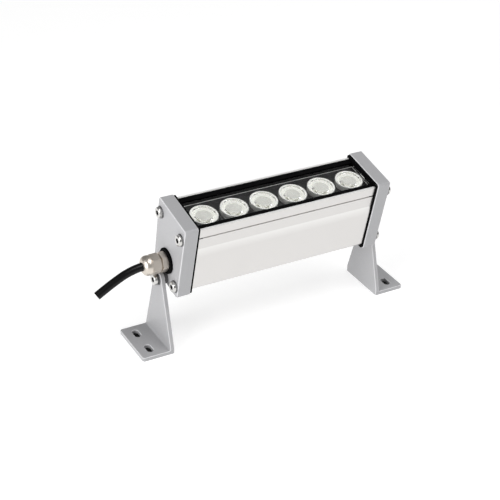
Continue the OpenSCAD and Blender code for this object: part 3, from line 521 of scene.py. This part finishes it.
housing = brokenEdges("housing", edges["housing"], segments=2, limitDeg=35, edgeSlot=1)
givePiece("housingExtrusion", markAbove(housing, finishFrom["housing"]), "head",
          ["housing"], [anodised, rimHighlightAluminium], smoothDeg=0)
seals = brokenEdges("glass_seals", edges["seals"], segments=2)
givePiece("glassSeals", seals, "head", ["glass_seals"], [rubber], smoothDeg=0)
pane = brokenEdges("glass_cover", edges["glass"], segments=2)
givePiece("glassPane", pane, "head", ["glass_cover"], [glass], smoothDeg=0)
tray = brokenEdges("lens_tray", edges["tray"], segments=2, edgeSlot=1)
givePiece("lensTray", markAbove(tray, finishFrom["tray"]), "head", ["lens_tray"],
          [traySheet, sheetEdge], smoothDeg=0)
print("stage: caps, brackets and housing")

# Screws with low round heads. Their own sizes come first, and anyScrew has what all of them share: chamfers,
# the socket in shares of its width over the flats, and the limits of the faces that count as inside it.
screw = {"headR": 4.2, "headH": 2.3, "edgeR": 0.7, "socket": 3.6, "socketDeep": 1.6, "shankR": 1.7,
         "length": 26, "inset": 4.9, "rows": (8.5, 54.25), "seeds": {"left": 11, "right": 4}}
pivotScrew = {"headR": 4.6, "headH": 2.3, "edgeR": 0.7, "socket": 3.8, "socketDeep": 1.6, "shankR": 2.5,
              "length": 14.25, "seatX": 95.85, "turnDeg": 12}
washer = {"outerR": 4.8, "boreR": 1.75, "thick": 0.8, "edge": 0.12, "seed": 5}
anyScrew = {"tip": 0.3, "underEdge": 0.15, "edgeSteps": 6, "mouthShare": 0.66, "mouthDeep": 0.12,
            "hexShare": 0.7, "drillDeep": 0.3, "drillR": 0.3, "insideShare": 0.61, "insideLow": 0.1,
            "insideTop": 0.15}
capTaper = {"bottomWidth": 40.5, "topWidth": 44, "height": 65}


# The head points along +Z from the seat at 0
def socketScrew(size):
    radius, top, edge, socket = (size[key] for key in ("headR", "headH", "edgeR", "socket"))
    tip, under = anyScrew["tip"], anyScrew["underEdge"]
    hexR, floor = socket * anyScrew["hexShare"], top - size["socketDeep"]
    rings = [(-size["length"], size["shankR"] - tip), (-size["length"] + tip, size["shankR"]),
             (0, size["shankR"]), (0, radius - under), (under, radius)]
    rings += arc(top - edge, radius - edge, edge, 0, 90, anyScrew["edgeSteps"])
    rings += [(top, socket * anyScrew["mouthShare"]), (top - anyScrew["mouthDeep"], hexR, socket),
              (floor, hexR, socket), (floor - anyScrew["drillDeep"], anyScrew["drillR"])]
    return markInner(turned(rings), lambda face: (
        anyScrew["insideLow"] < face.center.z < top - anyScrew["insideTop"]
        and face.center.xy.length < socket * anyScrew["insideShare"]))


def flatRing(size, around=48):
    bore, outer, thick, edge = (size[key] for key in ("boreR", "outerR", "thick", "edge"))
    return turned([(0, bore), (0, outer - edge), (edge, outer), (thick - edge, outer), (thick, outer - edge),
                   (thick, bore)], closed=True, around=around)


# Where the four screws of a cap stand: (y, z) in mm on the head, level with the cap's sloping sides
def screwPlaces():
    places = []
    for z in screw["rows"]:
        widening = (capTaper["topWidth"] - capTaper["bottomWidth"]) * z / capTaper["height"]
        y = (capTaper["bottomWidth"] + widening) / 2 - screw["inset"]
        places += [(y, z), (-y, z)]
    return places


screwMesh = socketScrew(screw)
screwMesh.transform(outward)
screwPattern = newPiece("screwPattern", screwMesh)
washerMesh = flatRing(washer)
washerMesh.transform(outward)
washerPattern = newPiece("washerPattern", washerMesh)
for side, sign in (("left", -1), ("right", 1)):
    facing = 0.0 if sign < 0 else math.pi
    capFace = [(sign * head["capOut"], y, z) for y, z in screwPlaces()]
    washers = grow(screwsAtPlaces, screwInputs, pointsMesh(capFace), "capWashers", Piece=washerPattern,
                   Facing=facing, Seed=washer["seed"], Finish=washerSteel)
    washers.transform(toHead)
    givePiece("capWashers" + side.title(), washers, "head", ["cap_washers_" + side])
    seats = [(sign * (head["capOut"] + washer["thick"]), y, z) for y, z in screwPlaces()]
    screws = grow(screwsAtPlaces, screwInputs, pointsMesh(seats), "capScrews", Piece=screwPattern,
                  Facing=facing, Seed=screw["seeds"][side], Finish=steel, Inner=socketShade)
    screws.transform(toHead)
    givePiece("capScrews" + side.title(), screws, "head", ["cap_screws_" + side])

    pivot = socketScrew(pivotScrew)
    pivot.transform(toHead @ Matrix.Rotation(facing, 4, "Z")
                    @ Matrix.Translation((-pivotScrew["seatX"], 0, head["pivotZ"])) @ outward
                    @ Matrix.Rotation(math.radians(pivotScrew["turnDeg"]), 4, "Z"))
    givePiece("pivotScrew" + side.title(), pivot, "head", ["pivot_screw_" + side],
              [steel, socketShade])
for pattern in (screwPattern, washerPattern):
    bpy.data.objects.remove(pattern)
print("stage: screws")

# Cable gland, drawn along Z from the cap's face. Profiles are lists of (height, radius) in mm.
glandPlace = toHead @ Matrix.Translation((-head["capOut"], 0, head["glandZ"])) @ outward
glandRing = {"boreR": 6.05, "outerR": 10, "thick": 1.8, "edge": 0.3, "around": 64}
glandHexagon = {"flats": 14, "cornerR": 8.05, "cone": 0.6, "tuck": 0.1, "around": 96}
glandBody = {"tail": [(-8.3, 3.25), (-8.3, 5.8), (-8.1, 6), (1.8, 6)], "hexagon": (1.8, 6.6),
             "threadR": 6, "threadStep": 0.2, "threadDeep": 0.3, "threadRings": 5,
             "sealSeat": [(13.4, 6), (13.4, 4.6), (8.4, 4.6), (8.4, 3.25)]}
glandNut = {"back": [(7.4, 6.05)], "hexagon": (7.4, 14.4),
            "collar": [(14.4, 7.2), (14.75, 7.25), (15.0, 7.7)],
            "domeFrom": 16.5, "domeR": 3.5, "domeBend": 4.2, "domeSteps": 9,
            "bore": [(20.5, 3.4), (16.45, 3.4), (16.45, 4.6), (13.4, 4.6), (13.4, 6.05)]}


# A hexagon between two heights whose corners are turned off to a cone at both ends
def hexRings(low, high):
    flats, corner, cone = (glandHexagon[key] for key in ("flats", "cornerR", "cone"))
    flush = flats / 2 - glandHexagon["tuck"]
    return [(low, flush), (low, corner, flats, cone), (high, corner, flats, -cone), (high, flush)]


# The stretch of thread that shows between the two hexagons
def threadRings():
    start, deep = glandBody["hexagon"][1], glandBody["threadDeep"]
    return [(start + glandBody["threadStep"] * i, glandBody["threadR"] - (deep if i % 2 else 0))
            for i in range(glandBody["threadRings"])]


def domeRings():
    return arc(glandNut["domeFrom"], glandNut["domeR"], glandNut["domeBend"], 0, 90, glandNut["domeSteps"])


def glandPiece(name, mesh, node, finish):
    mesh.transform(glandPlace)
    givePiece(name, mesh, "head", [node], [finish])


glandPiece("glandRing", flatRing(glandRing, glandRing["around"]), "gland_ring", rubber)
bodyRings = glandBody["tail"] + hexRings(*glandBody["hexagon"]) + threadRings() + glandBody["sealSeat"]
glandPiece("glandBody", turned(bodyRings, closed=True, around=glandHexagon["around"]),
           "gland_body", nickel)
nutRings = (glandNut["back"] + hexRings(*glandNut["hexagon"]) + glandNut["collar"] + domeRings()
            + glandNut["bore"])
glandPiece("glandNut", turned(nutRings, closed=True, around=glandHexagon["around"]),
           "gland_nut", nickel)
print("stage: gland")

# Lenses in their holders, drawn along Z from the LED board as lists of (height, radius) in mm
lensRow = {"count": 6, "pitch": 25.0, "start": (-61.5, -1, 45.3), "around": 72}
holder = {"wall": [(0, 5.2), (0, 8), (5.8, 10.75), (11.75, 10.75)], "lip": [(12, 10.5), (12, 10.0)],
          "inside": [(11.8, 9.75), (10.2, 9.75), (1.2, 5.2)], "lipFrom": 11.7, "insideR": 9.8, "facing": -0.1}
lens = {"cup": [(5.6, 0.6), (5.5, 1.6), (5.2, 2.5), (4.7, 3.2)],               # the hollow over the LED
        "foot": [(1.6, 3.2), (1.6, 5.08)],
        "cone": [(3.2, 6.1), (5.4, 7.5), (7.8, 8.75), (10.3, 9.62)],
        "face": [(11.6, 9.62), (11.6, 7.0), (11.85, 6.8), (11.85, 6.55)],      # with a bead round the well
        "well": [(11.6, 6.45), (10.6, 6.2), (10.4, 0.6)], "wellFrom": 10.1, "wellR": 6.3}

holderMesh = turned(holder["wall"] + holder["lip"] + holder["inside"], closed=True, around=lensRow["around"])
markInner(holderMesh, lambda face: face.center.z > holder["lipFrom"] or (
    face.normal.xy.dot(face.center.xy) < holder["facing"] and face.center.xy.length < holder["insideR"]))
lensMesh = turned(lens["cup"] + lens["foot"] + lens["cone"] + lens["face"] + lens["well"],
                  around=lensRow["around"])
markInner(lensMesh, lambda face: face.center.xy.length < lens["wellR"] and face.center.z > lens["wellFrom"])


def rowOf(mesh, name, finish, inner):
    pattern = newPiece(name + "Pattern", mesh)
    row = grow(rowAlongLamp, rowInputs, pointsMesh([(0, 0, 0)]), name, Piece=pattern, Count=lensRow["count"],
               Pitch=lensRow["pitch"], Start=lensRow["start"], Finish=finish, Inner=inner)
    bpy.data.objects.remove(pattern)
    row.transform(toHead)
    return row


def numbered(name):
    return [name + str(i + 1) for i in range(lensRow["count"])]


givePiece("lensHolders", rowOf(holderMesh, "lensHolders", holderWhite, holderInside), "head",
          numbered("lens_holder_"))
givePiece("lensRow", rowOf(lensMesh, "lensRow", lensAcrylic, glowingLensWell), "head",
          numbered("lens_"))
print("stage: lenses")

# The cable leaves the gland along -X and droops a little, cut square at its end. cutRings lists (distance
# along the cable, radius) in mm, from the jacket's inner edge to a shallow floor that the cores stand in.
cable = {"exit": (-108.2, 2.4409, 71.0097), "radius": 3.2, "sides": 32, "cutEdge": 0.02,
         "cutRings": [(0.0, 2.3), (-0.35, 2.2)], "coreR": 0.95, "coreAside": 1.15, "coreBack": 0.5,
         "coreShy": 0.02, "copperShare": 0.5}
cableRoute = [(0, 0, 0), (-2.4, 0, -0.2), (-4.8, 0, -0.6), (-7.2, 0, -1.1), (-9.6, 0, -1.7), (-12, 0, -2.5),
              (-14.4, 0, -3.4), (-16.8, 0, -4.5), (-19.2, 0, -5.7), (-21.6, 0, -6.9), (-24, 0, -8.2),
              (-26.4, 0, -9.5), (-28.8, 0, -10.9), (-31.2, 0, -12.3), (-33.6, 0, -13.7), (-36, 0, -15.2)]


def cableRing(shape, centre, way, radius):
    across = Vector((0, 1, 0))
    above = way.cross(across).normalized()
    angles = [2 * math.pi * i / cable["sides"] for i in range(cable["sides"])]
    return [shape.verts.new(centre + radius * (math.cos(angle) * across + math.sin(angle) * above))
            for angle in angles]


def joinRings(shape, first, second, slotNumber=0):
    for i in range(cable["sides"]):
        j = (i + 1) % cable["sides"]
        shape.faces.new((first[i], first[j], second[j], second[i])).material_index = slotNumber


# A round bar that ends just behind the cut: a core's insulation, or the copper in it
def coreBar(shape, middle, way, radius, shy, slotNumber):
    back = cableRing(shape, middle - way * cable["coreBack"], way, radius)
    front = cableRing(shape, middle - way * shy, way, radius)
    joinRings(shape, back, front, slotNumber)
    shape.faces.new(front).material_index = slotNumber
    shape.faces.new(back).material_index = slotNumber


def cableMesh():
    shape = bmesh.new()
    points = [Vector(cable["exit"]) + Vector(point) for point in cableRoute]
    cut = points[-1]
    ways = [Vector((-1, 0, 0))]
    for before, after in zip(points, points[2:] + [cut]):
        ways.append((after - before).normalized())
    radii = [cable["radius"]] * (len(points) - 1) + [cable["radius"] - cable["cutEdge"]]
    rings = [cableRing(shape, point, way, radius) for point, way, radius in zip(points, ways, radii)]
    rings += [cableRing(shape, cut + ways[-1] * along, ways[-1], radius)
              for along, radius in cable["cutRings"]]
    for first, second in zip(rings, rings[1:]):
        joinRings(shape, first, second)
    shape.faces.new(rings[0])
    shape.faces.new(rings[-1])
    for sign in (-1, 1):
        middle = cut + Vector((0, sign * cable["coreAside"], 0))
        coreBar(shape, middle, ways[-1], cable["coreR"], cable["coreShy"], 1)
        coreBar(shape, middle, ways[-1], cable["coreR"] * cable["copperShare"], 0.0, 2)
    bmesh.ops.recalc_face_normals(shape, faces=shape.faces)
    mesh = bpy.data.meshes.new("cable")
    shape.to_mesh(mesh)
    shape.free()
    return mesh


flex = cableMesh()
flex.transform(toWorld)
flexPiece = givePiece("supplyCable", flex, "head", ["cable"], [jacket, wireRed, copper])
print("stage: cable")

# CAD nodes that keep their own shape
keptFinish = {
    "glass_beds": rubber, "gland_seal": rubber, "gland_lock_nut": nickel, "cable_inner": jacket,
    "cable_cores": wireRed, "led_leads": wireRed, "led_board": whiteBoard, "driver_board": greenBoard,
    "driver_capacitor": darkEpoxy, "driver_chips": darkEpoxy, "driver_transformer": windingTape,
    "terminal_block": greenPolyamide, "board_screws": steel, "driver_screws": steel,
    "driver_standoffs": steel}
for side in ("left", "right"):
    keptFinish["pivot_spacer_" + side] = spacerNylon
    keptFinish["pivot_washer_" + side] = washerSteel
    keptFinish["pivot_lock_washer_" + side] = washerSteel
for name in numbered("led_"):
    keptFinish[name] = ledResin
for name, finish in keptFinish.items():
    nodes[name].data.materials.clear()
    nodes[name].data.materials.append(finish)
print("stage: finishes on the kept nodes")

# Studio, in metres and watts: each softbox is (name, place, side of its square, power), turned to the aim
studio = {"floorHalf": 30.0, "world": 0.2, "aim": (0, 0, 0.06),
          "lights": [("sideSoftbox", (-1.7, -0.5, 0.75), 1.3, 26.5),
                     ("frontSoftbox", (0.2, -1.7, 1.1), 1.3, 1.0),
                     ("overheadSoftbox", (0.45, -0.6, 1.75), 1.1, 15.0),
                     ("backFill", (1.3, 1.3, 0.9), 1.0, 3.0)]}
# The photograph's slots show dark, so a dark strip of painted shade lies on the floor under each foot's slots
slotShade = {"aside": 107.1, "halfWidth": 6, "halfLength": 18, "lift": 0.04}


# Matt paper with fine fibres. The floor's glow evens it out, as a lit background does.
def cardFinish(name, look):
    material, tree = newMaterial(name)
    place = addNode(tree, "ShaderNodeTexCoord").outputs["Object"]
    fibres = addNode(tree, "ShaderNodeTexNoise", {
        "Vector": place, "Scale": 1 / (look["fibreMm"] * mm), "Detail": look["detail"]})
    tone = addNode(tree, "ShaderNodeMix", {
        0: fibres.outputs["Fac"], 6: hexColour(look["light"]), 7: hexColour(look["dark"])}, data_type="RGBA")
    shader = addNode(tree, "ShaderNodeBsdfPrincipled", {
        "Base Color": tone.outputs[2], "Roughness": look["rough"], "Emission Color": (1, 1, 1, 1),
        "Emission Strength": look["glow"]})
    addNode(tree, "ShaderNodeOutputMaterial", {"Surface": shader.outputs[0]})
    return material


def addCard(name, x, y, z, halfX, halfY, material):
    mesh = bpy.data.meshes.new(name)
    mesh.from_pydata([(x - halfX, y - halfY, z), (x + halfX, y - halfY, z), (x + halfX, y + halfY, z),
                      (x - halfX, y + halfY, z)], [], [(0, 1, 2, 3)])
    mesh.materials.append(material)
    newPiece(name, mesh)


def addSoftbox(name, place, size, power):
    lamp = bpy.data.lights.new(name, "AREA")
    lamp.shape = "SQUARE"
    lamp.size = size
    lamp.energy = power
    light = bpy.data.objects.new(name, lamp)
    aim = Vector(studio["aim"]) - Vector(place)
    light.matrix_world = Matrix.Translation(place) @ aim.to_track_quat("-Z", "Y").to_matrix().to_4x4()
    scene.collection.objects.link(light)


def addWorld():
    world = bpy.data.worlds.new("studio")
    world.use_nodes = True
    background = world.node_tree.nodes["Background"]
    background.inputs["Color"].default_value = (1, 1, 1, 1)
    background.inputs["Strength"].default_value = studio["world"]
    scene.world = world


palePaper = cardFinish("paleStudioPaper", {
    "light": "#BEBEBE", "dark": "#B8B8B8", "fibreMm": 2.5, "detail": 3.0, "rough": 0.9, "glow": 0.67})
# A dark card of painted shade, seen only through the feet's slots
shadeCard = cardFinish("darkUnderFeet", {
    "light": "#101010", "dark": "#181818", "fibreMm": 1.111, "detail": 2.0, "rough": 0.95, "glow": 0.0})
addCard("floor", 0, 0, 0, studio["floorHalf"], studio["floorHalf"], palePaper)
for name, sign in (("slotShadeLeft", -1), ("slotShadeRight", 1)):
    addCard(name, sign * slotShade["aside"] * mm, head["standY"] * mm, slotShade["lift"] * mm,
            slotShade["halfWidth"] * mm, slotShade["halfLength"] * mm, shadeCard)
for softbox in studio["lights"]:
    addSoftbox(*softbox)
addWorld()
print("stage: studio")

bpy.context.view_layer.update()
